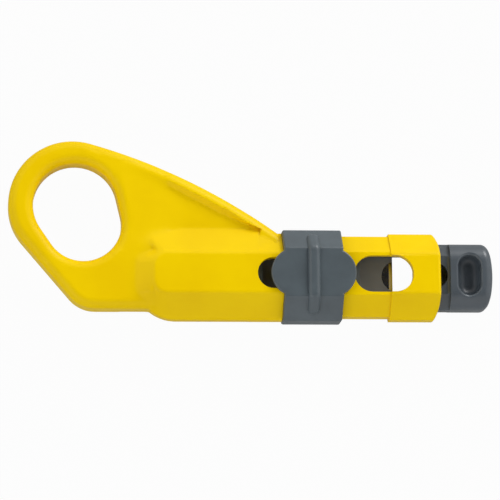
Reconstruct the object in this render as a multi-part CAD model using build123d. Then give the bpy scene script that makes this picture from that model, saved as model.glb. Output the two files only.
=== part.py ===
from build123d import *
from math import asin, atan2, cos, hypot, pi, radians, sin, sqrt
import os

# Two-level coaxial cable stripper, lying on its back.
# Millimetres. The cable's axis through the large window is Z. +X runs along the barrel to the thumb head.
# +Y is the side the finger ring's top is on. Z = 0 is the barrel's back, which the tool rests on.

# Barrel, a bevelled box whose inner end is rounded and slopes down to the web
barrel_half_height = 13.2
barrel_half_thick = 9.2
barrel_bevel = 7.1
barrel_edge_round = 2.0
nose_end_x = -77.6
nose_flat_half = 0.7
facet_start_x = -72.2
facet_flat_half = 2.1
mouth_x = 13.7
mouth_corner_reach = 1.6
mouth_corner_height = 5.7
mouth_corner_bulge = 0.4
mouth_edge_round = 1.0

# Reduced length that the cover slides on, between a shoulder and the collar
track_start_x = -33.45
track_end_x = -1.2
track_side_step = 1.0
track_front_step = 0.9
track_back_step = 1.7
track_bevel = 5.8
collar_side_step = 0.15

# Bore and plunger
bore_side_wall = 3.1
bore_face_wall = 3.1
bore_bevel = 4.2
plunger_clearance = 0.1
plunger_end_chamfer = 0.5
press_travel = 3.0
stop_gap = 0.1

# Cable windows, one radius for each size of cable
large_window_radius = 5.5
large_window_length = 17.7
small_window_radius = 4.65
small_window_length = 16.8
station_pitch = 29.0
back_window_margin = 0.3
back_window_reach = 2.0
back_window_corner = 2.0

# Blade cassettes
passage_side_wall = 2.6
cassette_side_gap = 0.5
cassette_length = 10.3
cassette_lead = 0.05
cassette_front = 3.5
cassette_fit = 0.1
holder_thick = 1.6
blade_thick = 0.4
blade_pitch = 6.35
blade_bevel_length = 1.1
blade_edge_thick = 0.04
blade_set_back = 1.2
blade_tail_gap = 0.6
clamp_thick = 1.0
clamp_length = 6.2
clamp_side_margin = 1.1
clamp_corner = 1.0
scoop_radius = 4.8
scoop_centre_lead = 1.3
ear_width = 0.6
ear_length = 3.0
plate_set_back = 0.3
screw_radius = 1.0
screw_head_radius = 1.9
screw_from_side = 2.9
screw_from_tail = 2.6
screw_tip_cover = 0.4
screw_fit = 0.05
screw_sink_depth = 0.9
driver_slot_width = 0.5
driver_slot_depth = 0.35

# Openings in the plunger
lip_margin = 0.2
slot_end_margin = 0.4
neck_slot_radius = 3.9
neck_slot_end_x = 16.1
neck_slot_depth = 3.2
wedge_wall = 2.4

# Stop pin
stop_pin_radius = 1.25
stop_pin_x = -17.6
stop_pin_depth = 3.4
stop_pin_sink = 0.2
stop_slot_depth = 3.9
stop_pin_chamfer = 0.2

# Return spring
spring_radius = 4.2
spring_wire = 0.9
spring_turns = 6
spring_length = 13.0
spring_side_gap = 0.5
spigot_radius = 3.1
spigot_length = 3.0

# Thumb head on the plunger
head_half_thick = 7.3
head_end_x = 29.7
head_dome_radius = 33.0
head_side_round = 5.6
head_end_round = 2.4
neck_blend = 1.2
dimple_centre_x = 22.6
dimple_half_width = 3.4
dimple_half_height = 6.0
dimple_depth = 4.6
dimple_floor_round = 2.6
dimple_rim_round = 0.7
dimple_overshoot = 1.0

# Sliding cover, two halves snapped together round the barrel
cover_length = 17.7
cover_side_wall = 1.4
cover_front_wall = 2.3
cover_back_relief = 0.15
cover_front_bevel = 6.45
cover_back_bevel = 6.2
cover_clearance = 0.15
cover_end_gap = 0.1
cover_edge_round = 0.8
cover_rim_round = 0.6
pad_overhang = 3.85
pad_clearance = 0.15
pad_edge_round = 0.5
rib_width = 3.6
rib_height = 1.5
rib_shoulder = 0.2
rib_from_side = 1.7
rib_bury = 0.3
rib_bend = 2.5
rib_round = 1.4
tongue_width = 4.0
tongue_length = 2.6
tongue_fit = 0.1
tongue_thick = 0.7
tongue_from_end = 2.5

# Handle plate with the finger ring
plate_half_thick = 5.6
plate_round = 3.0
ring_radius = 19.25
ring_right_x = -76.55
ring_bottom_y = 2.15
ring_low_inset = 2.25
ring_join_angle = 185.0
heel_radius = 10.1
heel_from_ring = 6.7
slope_angle = 74.2
slope_end_x = -34.6
slope_drop = 0.35
finger_upper_wall = 6.7
finger_upper_shift = (0.7, -0.15)
finger_lower_wall = 7.8
finger_lower_shift = (3.1, -5.65)
web_floor = 4.1
web_rim = 3.0
web_ledge = 0.4
web_wall_taper = 45.0
web_hole_band = 3.2
web_corner = 3.0
web_ramp_inset = 4.45
web_ramp_length = 7.0

# Two places closer than this count as one
same_place = 0.01

# Places that follow from the sizes above
axis_z = barrel_half_thick
track_half_height = barrel_half_height - track_side_step
track_front = barrel_half_thick - track_front_step
track_back = barrel_half_thick - track_back_step
collar_half_height = barrel_half_height - collar_side_step
bore_half_height = barrel_half_height - bore_side_wall
bore_half_thick = barrel_half_thick - bore_face_wall
plunger_half_height = bore_half_height - plunger_clearance
plunger_half_thick = bore_half_thick - plunger_clearance
passage_half_width = plunger_half_height - passage_side_wall
cassette_half_width = passage_half_width - cassette_side_gap
back_window_half_height = cassette_half_width + ear_width + back_window_margin
clamp_half_width = cassette_half_width - clamp_side_margin
screw_y = cassette_half_width - screw_from_side
cover_half_height = track_half_height + cover_clearance + cover_side_wall
cover_front = track_front + cover_clearance + cover_front_wall
small_window_x = -station_pitch
edge_x = -cassette_lead
head_shoulder_x = mouth_x + press_travel + stop_gap
plunger_inner_x = small_window_x + edge_x - cassette_length - wedge_wall
bore_end_x = plunger_inner_x - press_travel - stop_gap
spring_seat_x = plunger_inner_x - spring_length
mouth_lead = neck_blend + plunger_clearance
nose_corner = barrel_half_height - nose_flat_half
facet_corner = barrel_half_height - barrel_bevel - facet_flat_half
ring_centre = (ring_right_x - ring_radius, ring_bottom_y + ring_radius)
ring_low_radius = ring_radius - ring_low_inset
heel_centre = (ring_centre[0] + heel_from_ring, 0)
finger_upper_centre = (ring_centre[0] + finger_upper_shift[0], ring_centre[1] + finger_upper_shift[1])
finger_lower_centre = (ring_centre[0] + finger_lower_shift[0], ring_centre[1] + finger_lower_shift[1])
web_ramp_start_x = ring_right_x - web_ramp_inset
finger_upper_radius = ring_radius - finger_upper_wall
finger_lower_radius = ring_radius - finger_lower_wall
slope_end = (slope_end_x, barrel_half_height - slope_drop)


def octagon(half_height, front, back, front_bevel, back_bevel):
    """Cross-section of the barrel and of what follows it, looking along X."""
    points = [
        (half_height - front_bevel, front),
        (half_height, front - front_bevel),
        (half_height, -(back - back_bevel)),
        (half_height - back_bevel, -back),
    ]
    mirrored = [(-y, z) for y, z in reversed(points)]
    return make_face(Polyline(*points, *mirrored, close=True))


def along_x(section, start, end):
    """The section, drawn in Y and Z, carried from one X to another."""
    return extrude(Plane.YZ.offset(start) * section, end - start)


def through_z(outline, low, high):
    """An outline in X and Y between two heights measured from the barrel's axis."""
    return extrude(Plane.XY.offset(low) * outline, high - low)


def box_between(x0, x1, y0, y1, z0, z1):
    return Pos((x0 + x1) / 2, (y0 + y1) / 2, (z0 + z1) / 2) * Box(x1 - x0, y1 - y0, z1 - z0)


def disc(centre, radius):
    return Pos(*centre) * Circle(radius)


def tangent_points(centre_a, radius_a, centre_b, radius_b, side):
    """Ends of the straight line that touches two circles on the named side, +1 left of a to b."""
    dx = centre_b[0] - centre_a[0]
    dy = centre_b[1] - centre_a[1]
    heading = atan2(dy, dx)
    lean = asin((radius_a - radius_b) / hypot(dx, dy))
    normal = heading + side * (pi / 2 - lean)
    nx = cos(normal)
    ny = sin(normal)
    first = (centre_a[0] + radius_a * nx, centre_a[1] + radius_a * ny)
    second = (centre_b[0] + radius_b * nx, centre_b[1] + radius_b * ny)
    return first, second


def hull_of_discs(centre_a, radius_a, centre_b, radius_b):
    left_a, left_b = tangent_points(centre_a, radius_a, centre_b, radius_b, 1)
    right_a, right_b = tangent_points(centre_a, radius_a, centre_b, radius_b, -1)
    middle = make_face(Polyline(left_a, left_b, right_b, right_a, close=True))
    return disc(centre_a, radius_a) + disc(centre_b, radius_b) + middle


def obround(start, end, radius):
    """A slot outline along X whose two round ends reach the given places."""
    middle = (start + end) / 2
    return Pos(middle, 0) * SlotOverall(end - start, 2 * radius)


def edges_along(shape, axis):
    return shape.edges().filter_by(axis)


# Handle: finger ring, web and barrel in one moulding
def plate_outline():
    join_x = cos(radians(ring_join_angle))
    join_y = sin(radians(ring_join_angle))
    ring_join = (ring_centre[0] + ring_radius * join_x, ring_centre[1] + ring_radius * join_y)
    low_centre = (ring_centre[0] + ring_low_inset * join_x, ring_centre[1] + ring_low_inset * join_y)
    ring_low, heel_low = tangent_points(low_centre, ring_low_radius, heel_centre, heel_radius, -1)
    slope_start = (
        ring_centre[0] + ring_radius * cos(radians(slope_angle)),
        ring_centre[1] + ring_radius * sin(radians(slope_angle)),
    )
    along_slope = (sin(radians(slope_angle)), -cos(radians(slope_angle)))
    slope = TangentArc(slope_start, slope_end, tangent=along_slope)
    half_way = radians((slope_angle + ring_join_angle) / 2)
    ring_top = (ring_centre[0] + ring_radius * cos(half_way), ring_centre[1] + ring_radius * sin(half_way))
    heel_bottom = (heel_centre[0], heel_centre[1] - heel_radius)
    lean = atan2(heel_low[1] - heel_centre[1], heel_low[0] - heel_centre[0])
    middle_angle = (lean - pi / 2) / 2
    heel_middle = (
        heel_centre[0] + heel_radius * cos(middle_angle),
        heel_centre[1] + heel_radius * sin(middle_angle),
    )
    sunk_bottom = (nose_end_x + nose_corner, heel_bottom[1])
    sunk_top = (slope_end[0], 0)
    lines = [
        ThreePointArc(slope_start, ring_top, ring_join),
        TangentArc(ring_join, ring_low, tangent=(-join_y, join_x)),
        Line(ring_low, heel_low),
        ThreePointArc(heel_low, heel_middle, heel_bottom),
        Line(heel_bottom, sunk_bottom),
        Line(sunk_bottom, sunk_top),
        Line(sunk_top, slope_end),
        slope,
    ]
    return make_face(lines)


def finger_hole():
    return hull_of_discs(
        finger_upper_centre, finger_upper_radius, finger_lower_centre, finger_lower_radius
    )


def web_pocket():
    """Pocket in one face of the web, inside the rim, its floor rising to nothing beside the finger hole."""
    inside_rim = offset(plate_outline(), -web_rim, kind=Kind.ARC)
    hole_band = disc(finger_upper_centre, finger_upper_radius + web_hole_band)
    low = barrel_half_height + web_ledge
    high = ring_centre[1] + ring_radius
    left = ring_centre[0]
    corners = [(left, low), (slope_end_x, low), (slope_end_x, high), (left, high)]
    above = make_face(Polyline(*corners, close=True))
    outline = (inside_rim & above) - hole_band
    outline = max(outline.faces(), key=lambda face: face.area)
    shrunk = offset(outline, -web_corner, kind=Kind.INTERSECTION)
    outline = offset(shrunk, web_corner, kind=Kind.ARC)
    top = Plane.XY.offset(plate_half_thick) * outline
    pocket = extrude(top, plate_half_thick - web_floor, dir=(0, 0, -1), taper=web_wall_taper)
    ramp = make_face(Plane.XZ * Polyline(
        (web_ramp_start_x, plate_half_thick), (web_ramp_start_x + web_ramp_length, web_floor),
        (slope_end_x, web_floor), (slope_end_x, plate_half_thick), close=True,
    ))
    return pocket & extrude(ramp, high, both=True)


def nose_outline(start, half_height, corner):
    """Plan of the barrel at one level: square at the mouth, both corners of the inner end rounded."""
    inset = corner * (1 - sqrt(0.5))
    side = (start + corner, half_height)
    middle = (start + inset, half_height - inset)
    end = (start, half_height - corner)
    return make_face([
        Line((mouth_x, half_height), side),
        ThreePointArc(side, middle, end),
        Line(end, (end[0], -end[1])),
        ThreePointArc((end[0], -end[1]), (middle[0], -middle[1]), (side[0], -side[1])),
        Line((side[0], -side[1]), (mouth_x, -half_height)),
        Line((mouth_x, -half_height), (mouth_x, half_height)),
    ])


def barrel_blank():
    """Straight sides, then bevels that rise to the front and back faces and run round the inner end."""
    sides = nose_outline(nose_end_x, barrel_half_height, nose_corner)
    face = nose_outline(facet_start_x, barrel_half_height - barrel_bevel, facet_corner)
    step = barrel_half_thick - barrel_bevel
    bevels = loft([Plane.XY.offset(step) * sides, Plane.XY.offset(barrel_half_thick) * face], ruled=True)
    return extrude(sides, step, both=True) + bevels + mirror(bevels, Plane.XY)


def mouth_cut():
    """Rounded outline of the barrel's open end, seen from above."""
    corner_x = mouth_x - mouth_corner_reach
    corner_y = barrel_half_height - mouth_corner_height
    bulge = (mouth_x - mouth_corner_bulge, (corner_y + barrel_half_height) / 2)
    outline = make_face([
        ThreePointArc((mouth_x, corner_y), bulge, (corner_x, barrel_half_height)),
        Line((corner_x, barrel_half_height), (nose_end_x, barrel_half_height)),
        Line((nose_end_x, barrel_half_height), (nose_end_x, -barrel_half_height)),
        Line((nose_end_x, -barrel_half_height), (corner_x, -barrel_half_height)),
        ThreePointArc((corner_x, -barrel_half_height), (bulge[0], -bulge[1]), (mouth_x, -corner_y)),
        Line((mouth_x, -corner_y), (mouth_x, corner_y)),
    ])
    return extrude(outline, barrel_half_thick, both=True)


def rounded_barrel():
    """Barrel with its long edges, its inner end and its mouth rounded."""
    blank = barrel_blank() & mouth_cut()
    blank = blank.solids()[0]
    mouth_start = mouth_x - mouth_corner_reach - same_place
    level = [edge for edge in blank.edges() if edge.bounding_box().size.Z < same_place]
    blank = fillet([edge for edge in level if edge.center().X < mouth_start], barrel_edge_round)
    mouth_edges = [edge for edge in blank.edges() if edge.center().X > mouth_start]
    return fillet(mouth_edges, mouth_edge_round)


def track_sleeve():
    """What is cut away round the barrel to leave the reduced length."""
    around = box_between(
        track_start_x, track_end_x,
        -2 * barrel_half_height, 2 * barrel_half_height,
        -2 * barrel_half_thick, 2 * barrel_half_thick,
    )
    core = octagon(track_half_height, track_front, track_back, track_bevel, track_bevel)
    return around - along_x(core, track_start_x, track_end_x)


def collar_sleeve():
    """The shaving that leaves the collar a little lower than the barrel."""
    shave = barrel_half_height - collar_half_height
    long = mouth_x - track_end_x
    strip = Box(long, shave, 2 * barrel_half_thick)
    middle_x = track_end_x + long / 2
    middle_y = barrel_half_height - shave / 2
    return Pos(middle_x, middle_y, 0) * strip + Pos(middle_x, -middle_y, 0) * strip


def bore_section(shrink=0):
    section = octagon(bore_half_height, bore_half_thick, bore_half_thick, bore_bevel, bore_bevel)
    if shrink:
        section = offset(section, -shrink, kind=Kind.INTERSECTION)
    return section


def bore_lead_in():
    """Flare at the bore's open end that the blend under the thumb head runs into."""
    flared = offset(bore_section(), mouth_lead, kind=Kind.INTERSECTION)
    return extrude(Plane.YZ.offset(mouth_x) * flared, mouth_lead, dir=(-1, 0, 0), taper=45)


def window_cut(centre_x, radius, length):
    """Front window with its round cradle, and the square service window behind it."""
    start = centre_x + radius - length
    front = through_z(obround(start, centre_x + radius, radius), 0, barrel_half_thick)
    back_start = start - back_window_margin
    back_end = centre_x + radius + back_window_reach
    back = Pos((back_start + back_end) / 2, 0) * RectangleRounded(
        back_end - back_start, 2 * back_window_half_height, back_window_corner
    )
    return front + through_z(back, -barrel_half_thick, 0)


def handle_body():
    plate = extrude(plate_outline(), plate_half_thick, both=True)
    plate = plate - extrude(finger_hole(), 2 * plate_half_thick, both=True)
    rim = [
        edge for edge in plate.edges()
        if abs(abs(edge.center().Z) - plate_half_thick) < same_place
        and not (edge.center().X > nose_end_x + nose_corner and edge.center().Y < slope_end[1])
    ]
    plate = fillet(rim, plate_round)
    pocket = web_pocket()
    plate = plate - pocket - mirror(pocket, Plane.XY)
    body = plate + rounded_barrel()
    body = body - track_sleeve() - collar_sleeve()
    body = body - along_x(bore_section(), bore_end_x, mouth_x) - bore_lead_in()
    spring_pocket = Pos(bore_end_x, 0, 0) * Rot(0, -90, 0) * Cylinder(
        spring_radius + spring_side_gap, bore_end_x - spring_seat_x,
        align=(Align.CENTER, Align.CENTER, Align.MIN),
    )
    body = body - spring_pocket
    body = body - window_cut(0, large_window_radius, large_window_length)
    body = body - window_cut(small_window_x, small_window_radius, small_window_length)
    pin_hole = Pos(stop_pin_x, 0, -track_back) * Cylinder(
        stop_pin_radius, 2 * (track_back - bore_half_thick)
    )
    return body - pin_hole


def stop_pin():
    """Dowel in the barrel's back wall, reaching into a slot in the plunger."""
    low = -(track_back - stop_pin_sink)
    high = -bore_half_thick + stop_pin_depth
    pin = Cylinder(stop_pin_radius, high - low, align=(Align.CENTER, Align.CENTER, Align.MIN))
    pin = chamfer(pin.edges().filter_by(GeomType.CIRCLE), stop_pin_chamfer)
    return Pos(stop_pin_x, 0, low) * pin


# Plunger: one moulding from the spring spigot to the thumb head
def head_outline():
    """Thumb head seen from above, with a domed end."""
    half = plunger_half_height
    drop = head_dome_radius - sqrt(head_dome_radius**2 - half**2)
    top = (head_end_x - drop, half)
    low = (head_end_x - drop, -half)
    return make_face([
        Line((head_shoulder_x, -half), low),
        ThreePointArc(low, (head_end_x, 0), top),
        Line(top, (head_shoulder_x, half)),
        Line((head_shoulder_x, half), (head_shoulder_x, -half)),
    ])


def thumb_head():
    """Rounded block with a domed end and a deep oval dimple in its front."""
    sides = extrude(head_outline(), head_half_thick, both=True)
    section = RectangleRounded(2 * plunger_half_height, 2 * head_half_thick, head_side_round)
    head = along_x(section, head_shoulder_x, head_end_x) & sides
    head = head.solids()[0]
    middle_x = (head_shoulder_x + head_end_x) / 2
    end_rim = [
        edge for edge in head.edges()
        if edge.center().X > middle_x and edge.bounding_box().size.X < head_end_x - middle_x
    ]
    head = fillet(end_rim, head_end_round)
    dimple = Pos(dimple_centre_x, 0) * Rot(0, 0, 90) * SlotOverall(
        2 * dimple_half_height, 2 * dimple_half_width
    )
    cut = through_z(dimple, head_half_thick - dimple_depth, head_half_thick + dimple_overshoot)
    cut = fillet(cut.faces().sort_by(Axis.Z)[0].edges(), dimple_floor_round)
    head = head - cut
    lip = [
        edge for edge in head.edges()
        if abs(edge.center().X - dimple_centre_x) < dimple_half_width + same_place
        and abs(edge.center().Y) < dimple_half_height + same_place
        and edge.center().Z > head_half_thick - head_side_round / 2
        and edge.bounding_box().size.Z < head_side_round / 2
    ]
    return fillet(lip, dimple_rim_round)


def station_openings(centre_x, radius):
    """Pocket for a cassette, the passage for the cable beside it, and the lip in front of both."""
    tail = centre_x + edge_x - cassette_length - cassette_fit
    front_of_cassette = centre_x + edge_x + cassette_fit
    passage_end = centre_x + radius + press_travel + slot_end_margin
    wide = cassette_half_width + cassette_fit
    lip = radius + lip_margin
    pocket = box_between(tail, front_of_cassette, -wide, wide, -bore_half_thick, cassette_front)
    passage = box_between(
        front_of_cassette, passage_end, -passage_half_width, passage_half_width,
        -bore_half_thick, cassette_front,
    )
    mouth = box_between(tail, passage_end, -lip, lip, cassette_front, bore_half_thick)
    notch_half = cassette_half_width + ear_width + cassette_fit
    notch = box_between(
        tail, centre_x + edge_x - cassette_length + ear_length + cassette_fit,
        -notch_half, notch_half, -bore_half_thick, cassette_front,
    )
    return pocket + passage + mouth + notch


def plunger():
    bar = along_x(bore_section(plunger_clearance), plunger_inner_x, head_shoulder_x)
    bar = chamfer(bar.faces().sort_by(Axis.X)[0].edges(), plunger_end_chamfer)
    body = bar + thumb_head()
    neck = [
        edge for edge in body.edges().filter_by(Axis.Y)
        if abs(edge.center().X - head_shoulder_x) < same_place
        and abs(abs(edge.center().Z) - plunger_half_thick) < same_place
    ]
    body = fillet(neck, neck_blend)
    spigot = Pos(plunger_inner_x, 0, 0) * Rot(0, -90, 0) * Cylinder(
        spigot_radius, spigot_length, align=(Align.CENTER, Align.CENTER, Align.MIN)
    )
    body = body + spigot
    body = body - station_openings(0, large_window_radius)
    body = body - station_openings(small_window_x, small_window_radius)
    neck_slot = obround(
        large_window_radius + press_travel - neck_slot_radius, neck_slot_end_x, neck_slot_radius
    )
    body = body - through_z(neck_slot, plunger_half_thick - neck_slot_depth, bore_half_thick)
    slot = obround(
        stop_pin_x - stop_pin_radius - stop_gap,
        stop_pin_x + stop_pin_radius + press_travel + stop_gap,
        stop_pin_radius + plunger_clearance,
    )
    return body - through_z(slot, -bore_half_thick, -plunger_half_thick + stop_slot_depth)


# Blade cassette: holder, two blades on either side of a spacer, and a plate screwed on behind
holder_back = cassette_front - holder_thick
core_blade_back = holder_back - blade_thick
spacer_back = holder_back - blade_pitch
jacket_blade_back = spacer_back - blade_thick
clamp_back = jacket_blade_back - clamp_thick
tail_x = edge_x - cassette_length
screw_x = tail_x + screw_from_tail


def screw_holes(low, high):
    """Two holes for the cassette's screws between two heights."""
    hole = disc((screw_x, screw_y), screw_radius + screw_fit)
    other = disc((screw_x, -screw_y), screw_radius + screw_fit)
    return through_z(hole + other, low, high)


def scoop(low, high):
    """Half-round hollow that lets the cable reach the blades."""
    return through_z(disc((edge_x + scoop_centre_lead, 0), scoop_radius), low, high)


def cassette_plate(low, high):
    plate = box_between(
        tail_x, edge_x - plate_set_back, -cassette_half_width, cassette_half_width, low, high
    )
    return plate - scoop(low, high)


def blade_holder():
    holder = cassette_plate(holder_back, cassette_front)
    reach = cassette_half_width + ear_width
    holder = holder + box_between(tail_x, tail_x + ear_length, -reach, reach, holder_back, cassette_front)
    return holder - screw_holes(holder_back, cassette_front - screw_tip_cover)


def blade_spacer():
    return cassette_plate(spacer_back, core_blade_back) - screw_holes(spacer_back, core_blade_back)


def blade(cutting_edge, back):
    """Straight flat blade, bevelled on its front to a fine edge."""
    steel = box_between(
        tail_x + blade_tail_gap, cutting_edge, -cassette_half_width, cassette_half_width,
        back, back + blade_thick,
    )
    front_edge = [
        edge for edge in edges_along(steel, Axis.Y)
        if abs(edge.center().X - cutting_edge) < same_place and edge.center().Z > back + blade_thick / 2
    ]
    steel = chamfer(front_edge, blade_thick - blade_edge_thick, blade_bevel_length)
    return steel - screw_holes(back, back + blade_thick)


def clamp_plate():
    plate = box_between(
        tail_x, tail_x + clamp_length, -clamp_half_width, clamp_half_width, clamp_back, jacket_blade_back
    )
    plate = fillet(edges_along(plate, Axis.Z), clamp_corner)
    plate = plate - screw_holes(clamp_back, jacket_blade_back)
    for side in (1, -1):
        sink = Cone(
            screw_head_radius + screw_fit, screw_radius + screw_fit, screw_sink_depth,
            align=(Align.CENTER, Align.CENTER, Align.MIN),
        )
        plate = plate - Pos(screw_x, side * screw_y, clamp_back) * sink
    return plate


def clamp_screws():
    """The pair of countersunk screws that hold one cassette together, driver slots facing back."""
    tip = cassette_front - screw_tip_cover
    cone = Cone(
        screw_head_radius, screw_radius, screw_sink_depth,
        align=(Align.CENTER, Align.CENTER, Align.MIN),
    )
    shank = Cylinder(screw_radius, tip - clamp_back, align=(Align.CENTER, Align.CENTER, Align.MIN))
    slot = Pos(0, 0, driver_slot_depth / 2) * Box(
        3 * screw_head_radius, driver_slot_width, driver_slot_depth
    )
    screw = cone + shank - slot
    places = [(screw_x, side * screw_y, clamp_back) for side in (1, -1)]
    return Compound([Pos(*place) * screw for place in places])


# Return spring in the bottom of the bore
def return_spring():
    start = spring_seat_x + spring_wire / 2
    height = spring_length - spring_wire
    path = Helix(height / spring_turns, height, spring_radius)
    wire = Plane(path @ 0, z_dir=path % 0) * Circle(spring_wire / 2)
    coil = sweep(wire, path=path)
    return Pos(start, 0, 0) * Rot(0, 90, 0) * coil


# Sliding cover
cover_start = track_start_x + cover_end_gap
cover_end = cover_start + cover_length
cover_middle = cover_start + cover_length / 2


def cover_inside():
    """Cross-section of the hollow through the cover."""
    inside = octagon(track_half_height, track_front, track_back, track_bevel, track_bevel)
    return offset(inside, cover_clearance, kind=Kind.INTERSECTION)


def cover_shell(half):
    """Front (+1) or back (-1) half of the sleeve round the reduced barrel."""
    outer = octagon(
        cover_half_height, cover_front, barrel_half_thick - cover_back_relief,
        cover_front_bevel, cover_back_bevel,
    )
    sleeve = along_x(outer, cover_start, cover_end)
    sleeve = fillet(edges_along(sleeve, Axis.X), cover_edge_round)
    ends = sleeve.faces().filter_by(Axis.X)
    sleeve = fillet(ends.edges(), cover_rim_round)
    sleeve = sleeve - along_x(cover_inside(), cover_start, cover_end)
    keep = box_between(
        cover_start, cover_end, -cover_half_height, cover_half_height,
        min(0, half * cover_front), max(0, half * cover_front),
    )
    return sleeve & keep


def tongues(grow):
    """Snap tongues along both sides of the front half, or their recesses when grown."""
    inner = track_half_height + cover_clearance
    outer = inner + tongue_thick + grow
    low = -tongue_length - grow
    found = []
    for start in (cover_start + tongue_from_end, cover_end - tongue_from_end - tongue_width):
        for side in (1, -1):
            found.append(box_between(
                start - grow, start + tongue_width + grow,
                min(side * inner, side * outer), max(side * inner, side * outer),
                low, 0,
            ))
    return found


def thumb_rib():
    """Rounded grip that stands up across the pad and a little way down both bevels."""
    top = cover_front + rib_height
    shoulder = cover_half_height - cover_front_bevel + rib_shoulder
    reach = cover_half_height - rib_from_side
    tip = top + shoulder - reach
    base = cover_front + cover_half_height - cover_front_bevel - reach - rib_bury
    corners = [(-reach, base), (-reach, tip), (-shoulder, top), (shoulder, top), (reach, tip), (reach, base)]
    section = make_face(Polyline(*corners, close=True))
    rib = along_x(section, cover_middle - rib_width / 2, cover_middle + rib_width / 2)
    bends = [edge for edge in edges_along(rib, Axis.X) if edge.center().Z > base + same_place]
    rib = fillet(bends, rib_bend)
    rims = rib.faces().filter_by(Axis.X).edges()
    crest = [edge for edge in rims if edge.center().Z > base + same_place]
    rib = fillet(crest, rib_round)
    return rib - along_x(cover_inside(), cover_start, cover_end)


def cover_front_half():
    shell = cover_shell(1)
    pad = obround(cover_start - pad_overhang, cover_end + pad_overhang, cover_half_height - cover_front_bevel)
    pad = through_z(pad, barrel_half_thick + pad_clearance, cover_front)
    rims = [edge for edge in pad.edges() if abs(edge.center().Z - cover_front) < same_place]
    pad = fillet(rims, pad_edge_round)
    shell = shell + pad + thumb_rib()
    for tongue in tongues(0):
        shell = shell + tongue
    return shell


def cover_back_half():
    shell = cover_shell(-1)
    for recess in tongues(tongue_fit):
        shell = shell - recess
    return shell


def at_station(piece, centre_x):
    return Pos(centre_x, 0, 0) * piece


def main():
    os.makedirs("parts", exist_ok=True)
    pieces = {
        "handle_body": handle_body(),
        "plunger": plunger(),
        "stop_pin": stop_pin(),
        "return_spring": return_spring(),
        "cover_front_half": cover_front_half(),
        "cover_back_half": cover_back_half(),
    }
    cassette = {
        "blade_holder": blade_holder(),
        "core_blade": blade(edge_x, core_blade_back),
        "blade_spacer": blade_spacer(),
        "jacket_blade": blade(edge_x - blade_set_back, jacket_blade_back),
        "clamp_plate": clamp_plate(),
        "clamp_screws": clamp_screws(),
    }
    for station, centre_x in (("large", 0), ("small", small_window_x)):
        for name, piece in cassette.items():
            pieces[station + "_" + name] = at_station(piece, centre_x)
    for name, piece in pieces.items():
        export_step(Pos(0, 0, axis_z) * piece, "parts/" + name + ".step")


main()
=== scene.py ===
import bpy
from math import radians, tan
from mathutils import Matrix, Vector


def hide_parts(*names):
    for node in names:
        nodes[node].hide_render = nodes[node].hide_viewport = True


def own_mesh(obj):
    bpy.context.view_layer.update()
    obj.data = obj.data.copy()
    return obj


# Coaxial cable stripper, lying on its barrel's back.
# Metres, +X to the thumb head, +Y to the ring's top, +Z up.

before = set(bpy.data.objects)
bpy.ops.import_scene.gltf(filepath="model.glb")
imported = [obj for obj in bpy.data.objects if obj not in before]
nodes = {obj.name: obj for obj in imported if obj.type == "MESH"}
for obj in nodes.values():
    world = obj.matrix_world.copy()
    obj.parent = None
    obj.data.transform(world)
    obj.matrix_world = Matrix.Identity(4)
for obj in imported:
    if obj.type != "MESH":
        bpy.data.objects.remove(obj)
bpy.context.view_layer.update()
print("stripper: CAD pieces in")


def newMaterial(name):
    material = bpy.data.materials.new(name)
    material.use_nodes = True
    tree = material.node_tree
    return material, tree.nodes, tree.links, tree.nodes["Principled BSDF"]


handlePlastic = {
    "colour": (0.90, 0.62, 0.0),  # warm traffic yellow
    "deepColour": (0.86, 0.575, 0.0),
    "specular": 0.09,
    "roughness": (0.30, 0.40),
    "flowScale": 55,  # slow cloudy change, as resin flows in a mould
    "flowSpan": (0.35, 0.6),
    "grainScale": 2600,  # spark-eroded mould skin
    "grainDepth": 0.000012,
}


def makeHandlePlastic():
    material, node, link, shader = newMaterial("handlePlastic")
    place = node.new("ShaderNodeTexCoord")
    flow = node.new("ShaderNodeTexNoise")
    flow.inputs["Scale"].default_value = handlePlastic["flowScale"]
    flow.inputs["Detail"].default_value = 5
    grain = node.new("ShaderNodeTexNoise")
    grain.inputs["Scale"].default_value = handlePlastic["grainScale"]
    grain.inputs["Detail"].default_value = 3
    link.new(place.outputs["Object"], flow.inputs["Vector"])
    link.new(place.outputs["Object"], grain.inputs["Vector"])
    tone = node.new("ShaderNodeValToRGB")
    tone.color_ramp.elements[0].position = handlePlastic["flowSpan"][0]
    tone.color_ramp.elements[0].color = (*handlePlastic["deepColour"], 1)
    tone.color_ramp.elements[1].position = handlePlastic["flowSpan"][1]
    tone.color_ramp.elements[1].color = (*handlePlastic["colour"], 1)
    link.new(flow.outputs["Fac"], tone.inputs["Fac"])
    link.new(tone.outputs["Color"], shader.inputs["Base Color"])
    shader.inputs["Specular IOR Level"].default_value = handlePlastic["specular"]
    sheen = node.new("ShaderNodeMapRange")
    sheen.inputs["To Min"].default_value = handlePlastic["roughness"][0]
    sheen.inputs["To Max"].default_value = handlePlastic["roughness"][1]
    link.new(grain.outputs["Fac"], sheen.inputs["Value"])
    link.new(sheen.outputs["Result"], shader.inputs["Roughness"])
    skin = node.new("ShaderNodeBump")
    skin.inputs["Strength"].default_value = 0.35
    skin.inputs["Distance"].default_value = handlePlastic["grainDepth"]
    link.new(grain.outputs["Fac"], skin.inputs["Height"])
    link.new(skin.outputs["Normal"], shader.inputs["Normal"])
    return material


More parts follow.
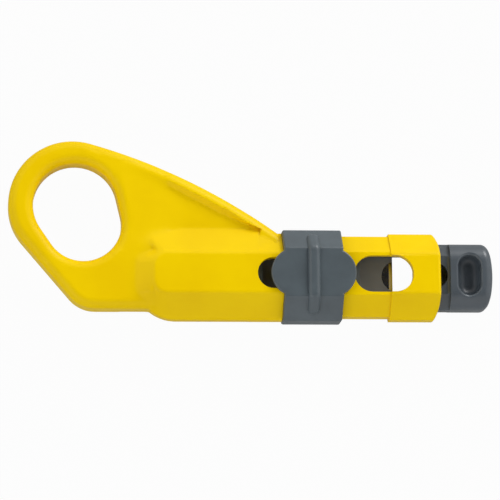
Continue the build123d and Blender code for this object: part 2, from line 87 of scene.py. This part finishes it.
greyPlastics = {
    "coverPlastic": {"colour": (0.083, 0.105, 0.118), "roughness": (0.34, 0.46)},
    "plungerPlastic": {"colour": (0.073, 0.088, 0.102), "roughness": (0.30, 0.42)},
    # painted light: the holder's grey is set about twice as light as the cover's, to make up for the shade
    # that falls on it inside the windows
    "holderPlasticPaintedLight": {"colour": (0.165, 0.168, 0.162), "roughness": (0.44, 0.56)},
    "specular": 0.65,
    "cloudScale": 160,
    "cloudSpan": (0.3, 0.7),
    "cloudShades": (0.88, 1.06),
    "grainScale": 3000,
    "grainDepth": 0.000010,
}


def makeGreyPlastic(name):
    finish = greyPlastics[name]
    material, node, link, shader = newMaterial(name)
    place = node.new("ShaderNodeTexCoord")
    grain = node.new("ShaderNodeTexNoise")
    grain.inputs["Scale"].default_value = greyPlastics["grainScale"]
    grain.inputs["Detail"].default_value = 3
    cloud = node.new("ShaderNodeTexNoise")
    cloud.inputs["Scale"].default_value = greyPlastics["cloudScale"]
    cloud.inputs["Detail"].default_value = 4
    link.new(place.outputs["Object"], grain.inputs["Vector"])
    link.new(place.outputs["Object"], cloud.inputs["Vector"])
    tone = node.new("ShaderNodeValToRGB")
    for element, position, shade in zip(
        tone.color_ramp.elements, greyPlastics["cloudSpan"], greyPlastics["cloudShades"]
    ):
        element.position = position
        element.color = (*[shade * c for c in finish["colour"]], 1)
    link.new(cloud.outputs["Fac"], tone.inputs["Fac"])
    link.new(tone.outputs["Color"], shader.inputs["Base Color"])
    shader.inputs["Specular IOR Level"].default_value = greyPlastics["specular"]
    sheen = node.new("ShaderNodeMapRange")
    sheen.inputs["To Min"].default_value = finish["roughness"][0]
    sheen.inputs["To Max"].default_value = finish["roughness"][1]
    link.new(grain.outputs["Fac"], sheen.inputs["Value"])
    link.new(sheen.outputs["Result"], shader.inputs["Roughness"])
    skin = node.new("ShaderNodeBump")
    skin.inputs["Strength"].default_value = 0.4
    skin.inputs["Distance"].default_value = greyPlastics["grainDepth"]
    link.new(grain.outputs["Fac"], skin.inputs["Height"])
    link.new(skin.outputs["Normal"], shader.inputs["Normal"])
    return material


steels = {
    "bladeSteel": {"colour": (0.56, 0.55, 0.53), "roughness": 0.22, "lines": (300, 9000, 300)},
    "clampSteel": {"colour": (0.46, 0.46, 0.46), "roughness": 0.38, "lines": (500, 4000, 500)},
    "fastenerSteel": {"colour": (0.42, 0.42, 0.43), "roughness": 0.33, "lines": (3000, 3000, 600)},
    "springSteel": {"colour": (0.40, 0.40, 0.42), "roughness": 0.3, "lines": (2500, 900, 900)},
}


steelSkin = {"darkShade": 0.8, "polishSpan": (0.8, 1.25), "grindStrength": 0.25, "grindDepth": 0.000008}


def makeSteel(name):
    finish = steels[name]
    material, node, link, shader = newMaterial(name)
    shader.inputs["Metallic"].default_value = 1
    place = node.new("ShaderNodeTexCoord")
    stretch = node.new("ShaderNodeMapping")
    stretch.inputs["Scale"].default_value = finish["lines"]
    lines = node.new("ShaderNodeTexNoise")
    lines.inputs["Scale"].default_value = 1
    lines.inputs["Detail"].default_value = 4
    link.new(place.outputs["Object"], stretch.inputs["Vector"])
    link.new(stretch.outputs["Vector"], lines.inputs["Vector"])
    tone = node.new("ShaderNodeValToRGB")
    tone.color_ramp.elements[0].color = (*[steelSkin["darkShade"] * c for c in finish["colour"]], 1)
    tone.color_ramp.elements[1].color = (*finish["colour"], 1)
    link.new(lines.outputs["Fac"], tone.inputs["Fac"])
    link.new(tone.outputs["Color"], shader.inputs["Base Color"])
    polish = node.new("ShaderNodeMapRange")
    polish.inputs["To Min"].default_value = finish["roughness"] * steelSkin["polishSpan"][0]
    polish.inputs["To Max"].default_value = finish["roughness"] * steelSkin["polishSpan"][1]
    link.new(lines.outputs["Fac"], polish.inputs["Value"])
    link.new(polish.outputs["Result"], shader.inputs["Roughness"])
    grind = node.new("ShaderNodeBump")
    grind.inputs["Strength"].default_value = steelSkin["grindStrength"]
    grind.inputs["Distance"].default_value = steelSkin["grindDepth"]
    link.new(lines.outputs["Fac"], grind.inputs["Height"])
    link.new(grind.outputs["Normal"], shader.inputs["Normal"])
    return material


finishes = {"handlePlastic": makeHandlePlastic()}
for name in ("coverPlastic", "plungerPlastic", "holderPlasticPaintedLight"):
    finishes[name] = makeGreyPlastic(name)
for name in steels:
    finishes[name] = makeSteel(name)
print("stripper: finishes made")


finishOf = {
    "handle_body": "handlePlastic",
    "plunger": "plungerPlastic",
    "stop_pin": "fastenerSteel",
    "return_spring": "springSteel",
    "cover_front_half": "coverPlastic",
    "cover_back_half": "coverPlastic",
    "blade_holder": "holderPlasticPaintedLight",
    "core_blade": "bladeSteel",
    "blade_spacer": "holderPlasticPaintedLight",
    "jacket_blade": "bladeSteel",
    "clamp_plate": "clampSteel",
    "clamp_screws": "fastenerSteel",
}


def finishFor(nodeName):
    plain = nodeName.removeprefix("large_").removeprefix("small_")
    return finishes[finishOf[plain]]


for nodeName, piece in nodes.items():
    piece.data.materials.clear()
    piece.data.materials.append(finishFor(nodeName))
print("stripper: finishes on")


# The handle's ring and web again from the CAD piece, with the soft feet that a mould gives.
# Lengths are in millimetres and angles in degrees.
handleForm = {
    "axisHeight": 9.2,
    "splitX": -36.0,
    "seamX": -43.2,
    "boxSize": 200.0,
    "voxel": 0.36,
    "softAngle": 30,
    "sharpAngle": 12,
    # blocks taken off (DIFFERENCE) or put on (UNION) beside the barrel,
    # each corner as X, Y and height over the axis
    "blocks": (
        ("DIFFERENCE", {  # levels the plate left of the web's floor
            (-1, -1, -1): (-79.0, 10.5, 5.35), (1, -1, -1): (-69.0, 10.5, 4.6),
            (-1, 1, -1): (-79.0, 16.0, 5.35), (1, 1, -1): (-69.0, 16.0, 4.6),
            (-1, -1, 1): (-80.0, 10.2, 6.3), (1, -1, 1): (-69.0, 10.2, 6.3),
            (-1, 1, 1): (-80.0, 16.2, 6.3), (1, 1, 1): (-69.0, 16.2, 6.3),
        }),
        ("DIFFERENCE", {  # takes the floor down to the barrel
            (-1, -1, -1): (-70.0, 10.0, 4.08), (1, -1, -1): (-46.0, 10.0, 4.08),
            (-1, 1, -1): (-70.0, 15.6, 4.08), (1, 1, -1): (-46.0, 15.6, 4.08),
            (-1, -1, 1): (-74.0, 9.2, 6.3), (1, -1, 1): (-46.0, 9.2, 6.3),
            (-1, 1, 1): (-74.0, 16.0, 6.3), (1, 1, 1): (-46.0, 15.8, 6.3),
        }),
        ("DIFFERENCE", {  # carries the floor to a sharp tip at the right
            (-1, -1, -1): (-52.0, 10.4, 4.06), (1, -1, -1): (-41.0, 10.4, 4.06),
            (-1, 1, -1): (-51.0, 18.7, 4.06), (1, 1, -1): (-39.9, 14.15, 4.06),
            (-1, -1, 1): (-52.0, 9.4, 6.4), (1, -1, 1): (-41.0, 9.4, 6.4),
            (-1, 1, 1): (-51.0, 21.3, 6.4), (1, 1, 1): (-39.2, 13.6, 6.4),
        }),
        ("UNION", {  # lets the floor rise softly to the ring
            (-1, -1, -1): (-78.5, 10.5, 2.0), (1, -1, -1): (-61.0, 10.5, 2.0),
            (-1, 1, -1): (-78.5, 34.0, 2.0), (1, 1, -1): (-61.0, 26.3, 2.0),
            (-1, -1, 1): (-78.5, 10.5, 5.3), (1, -1, 1): (-61.0, 10.5, 3.95),
            (-1, 1, 1): (-78.5, 34.0, 5.3), (1, 1, 1): (-61.0, 26.3, 3.95),
        }),
        ("UNION", {  # carries the barrel's top slope out to the web's floor
            (-1, -1, -1): (-76.0, 10.6, 3.4), (1, -1, -1): (-40.8, 10.6, 3.4),
            (-1, 1, -1): (-75.0, 15.6, 3.15), (1, 1, -1): (-40.8, 15.6, 3.15),
            (-1, -1, 1): (-71.0, 6.55, 8.6), (1, -1, 1): (-40.8, 6.55, 8.6),
            (-1, 1, 1): (-71.0, 6.7, 8.59), (1, 1, 1): (-40.8, 6.7, 8.59),
        }),
        ("UNION", {  # and lets it run out before the cover
            (-1, -1, -1): (-40.9, 10.6, 3.4), (1, -1, -1): (-35.6, 10.6, 3.4),
            (-1, 1, -1): (-40.9, 15.55, 3.15), (1, 1, -1): (-35.6, 12.2, 3.0),
            (-1, -1, 1): (-40.9, 6.55, 8.6), (1, -1, 1): (-35.6, 6.55, 8.55),
            (-1, 1, 1): (-40.9, 6.7, 8.58), (1, 1, 1): (-35.6, 6.7, 8.5),
        }),
        ("UNION", {  # soft foot of the nose
            (-1, -1, -1): (-77.6, -6.5, 4.0), (1, -1, -1): (-72.4, -9.5, 4.0),
            (-1, 1, -1): (-77.6, 5.0, 4.0), (1, 1, -1): (-72.4, 9.5, 4.0),
            (-1, -1, 1): (-77.6, -5.5, 5.6), (1, -1, 1): (-72.6, -5.8, 8.6),
            (-1, 1, 1): (-77.6, 4.0, 5.6), (1, 1, 1): (-72.6, 5.0, 8.6),
        }),
    ),
    # end of the bore, which keeps its size for the plunger
    "bore": {"x": (-44.95, -42.0), "halfHeight": 10.14, "halfThick": 6.14, "bevel": 4.2},
    "softZones": (
        {"x": (-82.0, -68.5), "y": (-11.5, 9.5), "height": (2.5, 8.6), "rounds": 30},
        {"x": (-80.0, -69.3), "y": (3.5, 12.5), "height": (4.5, 8.9), "rounds": 30},
        {"x": (-84.0, -67.0), "y": (7.0, 34.5), "height": (3.6, 6.2), "rounds": 60},
        {"x": (-70.0, -44.0), "y": (9.6, 36.0), "height": (1.5, 5.35), "rounds": 5},
    ),
}
mm = 0.001


def deselectAll():
    bpy.ops.object.select_all(action="DESELECT")


def pickOnly(piece):
    deselectAll()
    piece.select_set(True)
    bpy.context.view_layer.objects.active = piece


def copyOf(piece, name):
    pickOnly(piece)
    bpy.ops.object.duplicate()
    twin = bpy.context.object
    twin.name = name
    return twin


def mergeDoubles(piece):
    pickOnly(piece)
    bpy.ops.object.mode_set(mode="EDIT")
    bpy.ops.mesh.select_all(action="SELECT")
    bpy.ops.mesh.remove_doubles(threshold=0.000001)
    bpy.ops.object.mode_set(mode="OBJECT")


def applied(piece, kind, **settings):
    modifier = piece.modifiers.new(kind, kind)
    for setting, value in settings.items():
        setattr(modifier, setting, value)
    pickOnly(piece)
    bpy.ops.object.modifier_apply(modifier=modifier.name)


# A cube whose corners are each pulled to their place, on the front (1) or the back (-1).
def cornerBlock(corners, side):
    bpy.ops.mesh.primitive_cube_add(size=2, location=(0, 0, 0))
    block = bpy.context.object
    for corner, target in corners.items():
        bpy.ops.object.mode_set(mode="EDIT")
        bpy.ops.mesh.select_all(action="DESELECT")
        bpy.ops.object.mode_set(mode="OBJECT")
        point = min(block.data.vertices, key=lambda each: (each.co - Vector(corner)).length)
        place = Vector((target[0], target[1], handleForm["axisHeight"] + side * target[2])) * mm
        step = place - point.co
        point.select = True
        bpy.ops.object.mode_set(mode="EDIT")
        bpy.ops.transform.translate(value=step)
        bpy.ops.object.mode_set(mode="OBJECT")
    bpy.ops.object.mode_set(mode="EDIT")
    bpy.ops.mesh.select_all(action="SELECT")
    bpy.ops.mesh.normals_make_consistent(inside=False)
    bpy.ops.object.mode_set(mode="OBJECT")
    return block


# A box that holds all of the handle left of a place along X.
def sideBox(limit):
    size = handleForm["boxSize"] * mm
    bpy.ops.mesh.primitive_cube_add(size=1, location=(limit * mm - size / 2, 0, 0))
    box = bpy.context.object
    box.scale = (size,) * 3
    bpy.ops.object.transform_apply(location=True, rotation=True, scale=True)
    return box


def boreBlock():
    bore = handleForm["bore"]
    start, end = bore["x"]
    middlePlace = (start + end) / 2 * mm, 0, handleForm["axisHeight"] * mm
    bpy.ops.mesh.primitive_cube_add(size=1, location=middlePlace)
    block = bpy.context.object
    block.scale = Vector((end - start, 2 * bore["halfHeight"], 2 * bore["halfThick"])) * mm
    bpy.ops.object.transform_apply(location=True, rotation=True, scale=True)
    bpy.ops.object.mode_set(mode="EDIT")
    bpy.ops.mesh.select_mode(type="EDGE")
    bpy.ops.mesh.select_all(action="DESELECT")
    bpy.ops.object.mode_set(mode="OBJECT")
    points = block.data.vertices
    for edge in block.data.edges:
        first, second = (points[index].co for index in edge.vertices)
        edge.select = abs(first.x - second.x) > mm
    bpy.ops.object.mode_set(mode="EDIT")
    bpy.ops.mesh.bevel(offset=bore["bevel"] * mm, segments=1, affect="EDGES")
    bpy.ops.object.mode_set(mode="OBJECT")
    return block


# Smooths the points of one zone, front and back alike.
def soften(piece, zone):
    bpy.ops.object.mode_set(mode="EDIT")
    bpy.ops.mesh.select_mode(type="VERT")
    bpy.ops.mesh.select_all(action="DESELECT")
    bpy.ops.object.mode_set(mode="OBJECT")
    for point in piece.data.vertices:
        x, y, z = point.co / mm
        height = abs(z - handleForm["axisHeight"])
        point.select = (
            zone["x"][0] < x < zone["x"][1]
            and zone["y"][0] < y < zone["y"][1]
            and zone["height"][0] < height < zone["height"][1]
        )
    bpy.ops.object.mode_set(mode="EDIT")
    bpy.ops.mesh.vertices_smooth(factor=0.5, repeat=zone["rounds"])
    bpy.ops.object.mode_set(mode="OBJECT")


handle = copyOf(nodes["handle_body"], "handleWhole")
mergeDoubles(handle)
for operation, corners in handleForm["blocks"]:
    for side in (1, -1):
        block = cornerBlock(corners, side)
        applied(handle, "BOOLEAN", operation=operation, solver="EXACT", object=block)
        bpy.data.objects.remove(block)
print("stripper: web shaped to the barrel")

softPart = copyOf(handle, "handleSoft")
box = sideBox(handleForm["splitX"])
applied(softPart, "BOOLEAN", operation="INTERSECT", solver="EXACT", object=box)
bpy.data.objects.remove(box)
box = sideBox(handleForm["seamX"])
applied(handle, "BOOLEAN", operation="DIFFERENCE", solver="EXACT", object=box)
applied(softPart, "REMESH", mode="VOXEL", voxel_size=handleForm["voxel"] * mm)
for zone in handleForm["softZones"]:
    soften(softPart, zone)
block = boreBlock()
applied(softPart, "BOOLEAN", operation="DIFFERENCE", solver="EXACT", object=block)
bpy.data.objects.remove(block)
applied(softPart, "BOOLEAN", operation="INTERSECT", solver="EXACT", object=box)
bpy.data.objects.remove(box)
print("stripper: ring and web softened,", len(softPart.data.polygons), "faces")

for piece, angle in ((softPart, "softAngle"), (handle, "sharpAngle")):
    pickOnly(piece)
    bpy.ops.object.shade_smooth_by_angle(angle=radians(handleForm[angle]))
softPart.select_set(True)
bpy.ops.object.join()
handle.name = "handle_moulding"
handle.data.materials.clear()
handle.data.materials.append(finishes["handlePlastic"])
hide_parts("handle_body")
print("stripper: handle made,", len(handle.data.polygons), "faces")


# The spring, a merged and smoothed copy of the CAD piece. The real one shortens from its seat as the plunger
# is pressed.
springForm = {
    "seat": (-0.05475, 0.0, 0.0092),
    "length": 0.013,
    "travel": 0.003,
    "slack": 0.00005,
    "smoothAngle": 40,
}
spring = copyOf(nodes["return_spring"], "spring_coil")
mergeDoubles(spring)
bpy.ops.object.shade_smooth_by_angle(angle=radians(springForm["smoothAngle"]))
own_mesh(spring)
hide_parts("return_spring")
print("stripper: spring made")


studio = {
    "floorHalf": 6.0,
    "floorShade": 0.3,  # what the floor gives to light that bounces
    "floorWhite": 0.97,  # share of plain white that the camera sees in the floor
    "floorGloss": 0.25,  # share of it that a shiny face sees
    "skyStrength": 1.18,
    "skyGloss": 0.7,
    "keyPlace": (0.58, 0.90, 0.52),
    "keySize": 0.5,
    "keyPower": 6.4,
    "edgePlace": (-0.8, -0.6, 0.35),  # draws the thin light lines on the ring's lower left
    "edgeSize": 0.3,
    "edgePower": 0.5,
    "shadeHeight": 1.15,  # dark ceiling round the camera, which keeps hollows and flat fronts from glaring
    "shadeRadius": 0.83,
    "shadeTone": 0.02,
}

middle = (-0.0425, 0.008, 0.01)

bpy.ops.mesh.primitive_plane_add(size=2 * studio["floorHalf"], location=(0, 0, 0))
floor = bpy.context.object
floor.name = "studio_floor"
floorPaint, node, link, shader = newMaterial("floorPaint")
shader.inputs["Base Color"].default_value = (studio["floorShade"],) * 3 + (1,)
shader.inputs["Roughness"].default_value = 0.9
white = node.new("ShaderNodeEmission")
white.inputs["Color"].default_value = (1, 1, 1, 1)
white.inputs["Strength"].default_value = 1
rays = node.new("ShaderNodeLightPath")
seen = node.new("ShaderNodeMath")
seen.operation = "MAXIMUM"
link.new(rays.outputs["Is Camera Ray"], seen.inputs[0])
gloss = node.new("ShaderNodeMath")
gloss.operation = "MULTIPLY"
gloss.inputs[1].default_value = studio["floorGloss"]
link.new(rays.outputs["Is Glossy Ray"], gloss.inputs[0])
link.new(gloss.outputs[0], seen.inputs[1])
share = node.new("ShaderNodeMath")
share.operation = "MULTIPLY"
share.inputs[1].default_value = studio["floorWhite"]
link.new(seen.outputs[0], share.inputs[0])
blend = node.new("ShaderNodeMixShader")
link.new(share.outputs[0], blend.inputs["Fac"])
link.new(shader.outputs["BSDF"], blend.inputs[1])
link.new(white.outputs["Emission"], blend.inputs[2])
link.new(blend.outputs["Shader"], node["Material Output"].inputs["Surface"])
floor.data.materials.append(floorPaint)

bpy.ops.mesh.primitive_circle_add(
    vertices=64, radius=studio["shadeRadius"], fill_type="NGON",
    location=(middle[0], middle[1], studio["shadeHeight"]),
)
ceiling = bpy.context.object
ceiling.name = "studio_ceiling"
ceilingPaint, node, link, shader = newMaterial("ceilingPaint")
shader.inputs["Base Color"].default_value = (studio["shadeTone"],) * 3 + (1,)
shader.inputs["Roughness"].default_value = 1
ceiling.data.materials.append(ceilingPaint)

world = bpy.data.worlds.new("studioAir")
bpy.context.scene.world = world
world.use_nodes = True
air = world.node_tree
sky = air.nodes["Background"]
sky.inputs["Color"].default_value = (1, 1, 1, 1)
airRays = air.nodes.new("ShaderNodeLightPath")
airGloss = air.nodes.new("ShaderNodeMapRange")
airGloss.inputs["To Min"].default_value = studio["skyStrength"]
airGloss.inputs["To Max"].default_value = studio["skyGloss"]
air.links.new(airRays.outputs["Is Glossy Ray"], airGloss.inputs["Value"])
airLevel = air.nodes.new("ShaderNodeMapRange")
airLevel.inputs["To Max"].default_value = 1
air.links.new(airRays.outputs["Is Camera Ray"], airLevel.inputs["Value"])
air.links.new(airGloss.outputs["Result"], airLevel.inputs["To Min"])
air.links.new(airLevel.outputs["Result"], sky.inputs["Strength"])


def addSoftBox(name, place, size, power, target):
    bpy.ops.object.light_add(type="AREA", location=place)
    lamp = bpy.context.object
    lamp.name = name
    lamp.data.shape = "DISK"
    lamp.data.size = size
    lamp.data.energy = power
    lamp.rotation_euler = (Vector(target) - Vector(place)).to_track_quat("-Z", "Y").to_euler()
    return lamp


addSoftBox("keySoftBox", studio["keyPlace"], studio["keySize"], studio["keyPower"], middle)
addSoftBox("edgeSoftBox", studio["edgePlace"], studio["edgeSize"], studio["edgePower"], middle)

viewpoint = {
    "aim": (-0.04266, 0.00842, 0.0092),
    "leanLeft": 5.0,  # degrees the camera stands off towards the ring
    "leanLow": 10.5,  # degrees it stands off towards the barrel's lower side
    "roll": -0.6,
    "distance": 1.0,
    "pixelSize": 0.00029965,  # metres for each of the photo's 500 pixels
    "sensor": 36,
}
outward = Vector((-tan(radians(viewpoint["leanLeft"])), -tan(radians(viewpoint["leanLow"])), 1)).normalized()
bpy.ops.object.camera_add(location=Vector(viewpoint["aim"]) + outward * viewpoint["distance"])
camera = bpy.context.object
camera.name = "photoCamera"
across = Vector((0, 1, 0)).cross(outward).normalized()
upward = outward.cross(across)
sight = Matrix((across, upward, outward)).transposed() @ Matrix.Rotation(radians(viewpoint["roll"]), 3, "Z")
camera.rotation_euler = sight.to_euler()
camera.data.sensor_width = viewpoint["sensor"]
camera.data.lens = viewpoint["sensor"] * viewpoint["distance"] / (500 * viewpoint["pixelSize"])
camera.data.clip_start = 0.05
camera.data.clip_end = 50
bpy.context.scene.camera = camera

bpy.context.scene.view_settings.view_transform = "Standard"
print("stripper: studio set")
